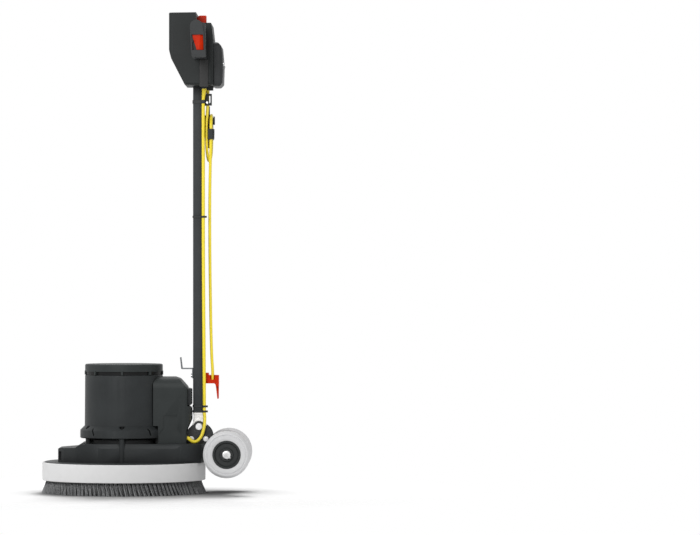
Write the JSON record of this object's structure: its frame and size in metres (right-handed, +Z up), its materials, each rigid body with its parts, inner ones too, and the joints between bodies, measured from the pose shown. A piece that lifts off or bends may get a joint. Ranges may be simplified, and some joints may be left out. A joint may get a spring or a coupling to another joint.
{
  "type": "single-disc floor machine",
  "caption": "Upright scrubbing machine: one round brush under a vertical motor, a tilting mast with two trigger grips, transport wheels and a yellow mains cord.",
  "frame": {"origin": "on the floor, in the middle of the machine's footprint with the mast upright", "axes": "+Z up along the mast, +X from the brush towards the wheels and the operator, Y across the machine"},
  "size_m": [0.5664, 0.451, 1.281],
  "materials": {
    "black_paint": "fine matte texture",
    "black_plastic": "fine spark texture",
    "dark_plastic": "fine spark texture",
    "wheel_plastic": "satin",
    "red_plastic": "satin",
    "grey_rubber": "matte",
    "grey_tyre": "satin",
    "bristle": "filament",
    "yellow_cable": "satin",
    "cast_aluminium": "cast",
    "capacitor_can": "drawn",
    "zinc_steel": "zinc plated",
    "gear_steel": "ground",
    "stator_core": "varnished windings"
  },
  "bodies": {
    "base": {"deck": "black_paint", "apron": "black_paint", "bumper_ring": "grey_rubber", "ring_gear": "gear_steel", "bearings": "gear_steel", "motor_foot": "black_paint", "foot_bolts": "zinc_steel", "motor_housing": "black_paint", "motor_cap": "black_plastic", "cap_screws": "zinc_steel", "stator": "stator_core", "electrics_box": "black_plastic", "box_vent": "dark_plastic", "capacitors": "capacitor_can", "box_gland": "dark_plastic", "side_plate_left": "black_paint", "side_plate_right": "black_paint", "plate_bolts": "zinc_steel", "pivot_bolt": "zinc_steel", "axle": "zinc_steel", "axle_caps": "zinc_steel", "lead_loop": "yellow_cable"},
    "rotor": {"rotor_shaft": "gear_steel", "cooling_fan": "black_plastic", "sun_gear": "gear_steel"},
    "brush": {"planet_carrier": "gear_steel", "coupling_plate": "zinc_steel", "brush_block": "dark_plastic", "bristles_front_left": "bristle", "bristles_front_right": "bristle", "bristles_rear_left": "bristle", "bristles_rear_right": "bristle"},
    "planet_1": {"planet_gear_1": "gear_steel"},
    "planet_2": {"planet_gear_2": "gear_steel"},
    "planet_3": {"planet_gear_3": "gear_steel"},
    "wheel_left": {"tyre_left": "grey_tyre", "hub_left": "wheel_plastic"},
    "wheel_right": {"tyre_right": "grey_tyre", "hub_right": "wheel_plastic"},
    "mast": {"mast_foot": "cast_aluminium", "mast_tube": "black_paint", "tank_bracket": "zinc_steel", "lower_cord_hook": "red_plastic", "upper_cord_hook": "black_plastic", "cord_clip": "black_plastic", "cable_ties": "dark_plastic", "head_front": "black_plastic", "head_rear": "black_plastic", "switch_cover": "dark_plastic", "mast_screws": "zinc_steel", "grip_left": "dark_plastic", "grip_right": "dark_plastic", "microswitches": "dark_plastic", "head_glands": "dark_plastic", "power_lead": "yellow_cable", "mains_cord": "yellow_cable", "button_spring": "zinc_steel"},
    "trigger_left": {"trigger_left": "red_plastic"},
    "trigger_right": {"trigger_right": "red_plastic"},
    "start_button": {"start_button": "red_plastic"}
  },
  "joints": [
    {"name": "brush_spin", "type": "hinge", "parent": "base", "child": "brush", "pos_m": [-0.05795, 0, 0.05], "axis": [0, 0, 1], "continuous": true},
    {"name": "rotor_spin", "type": "hinge", "parent": "base", "child": "rotor", "pos_m": [-0.05795, 0, 0.2], "axis": [0, 0, 1], "continuous": true},
    {"name": "planet_1_spin", "type": "hinge", "parent": "brush", "child": "planet_1", "pos_m": [-0.02195, 0, 0.1], "axis": [0, 0, 1], "continuous": true},
    {"name": "planet_2_spin", "type": "hinge", "parent": "brush", "child": "planet_2", "pos_m": [-0.07595, 0.03118, 0.1], "axis": [0, 0, 1], "continuous": true},
    {"name": "planet_3_spin", "type": "hinge", "parent": "brush", "child": "planet_3", "pos_m": [-0.07595, -0.03118, 0.1], "axis": [0, 0, 1], "continuous": true},
    {"name": "mast_tilt", "type": "hinge", "parent": "base", "child": "mast", "pos_m": [0.14405, 0, 0.1775], "axis": [0, 1, 0], "range_deg": [0, 90], "deforming": ["lead_loop"]},
    {"name": "wheel_left_spin", "type": "hinge", "parent": "base", "child": "wheel_left", "pos_m": [0.22045, -0.1165, 0.106], "axis": [0, 1, 0], "continuous": true},
    {"name": "wheel_right_spin", "type": "hinge", "parent": "base", "child": "wheel_right", "pos_m": [0.22045, 0.1165, 0.106], "axis": [0, 1, 0], "continuous": true},
    {"name": "trigger_left_pull", "type": "hinge", "parent": "mast", "child": "trigger_left", "pos_m": [0.14305, -0.106, 1.212], "axis": [-1, 0, 0], "range_deg": [0, 3.2], "stiffness_Nm_per_rad": 12, "springref_deg": -4.58},
    {"name": "trigger_right_pull", "type": "hinge", "parent": "mast", "child": "trigger_right", "pos_m": [0.14305, 0.106, 1.212], "axis": [1, 0, 0], "range_deg": [0, 3.2], "stiffness_Nm_per_rad": 12, "springref_deg": -4.58},
    {"name": "start_button_press", "type": "slide", "parent": "mast", "child": "start_button", "axis": [0, 0, -1], "range_m": [0, 0.005], "stiffness_N_per_m": 700, "springref_m": -0.004, "deforming": ["button_spring"]}
  ],
  "couplings": [
    {"joint": "rotor_spin", "follows": "brush_spin", "ratio": 9},
    {"joint": "planet_1_spin", "follows": "brush_spin", "ratio": -2.2857},
    {"joint": "planet_2_spin", "follows": "brush_spin", "ratio": -2.2857},
    {"joint": "planet_3_spin", "follows": "brush_spin", "ratio": -2.2857}
  ]
}
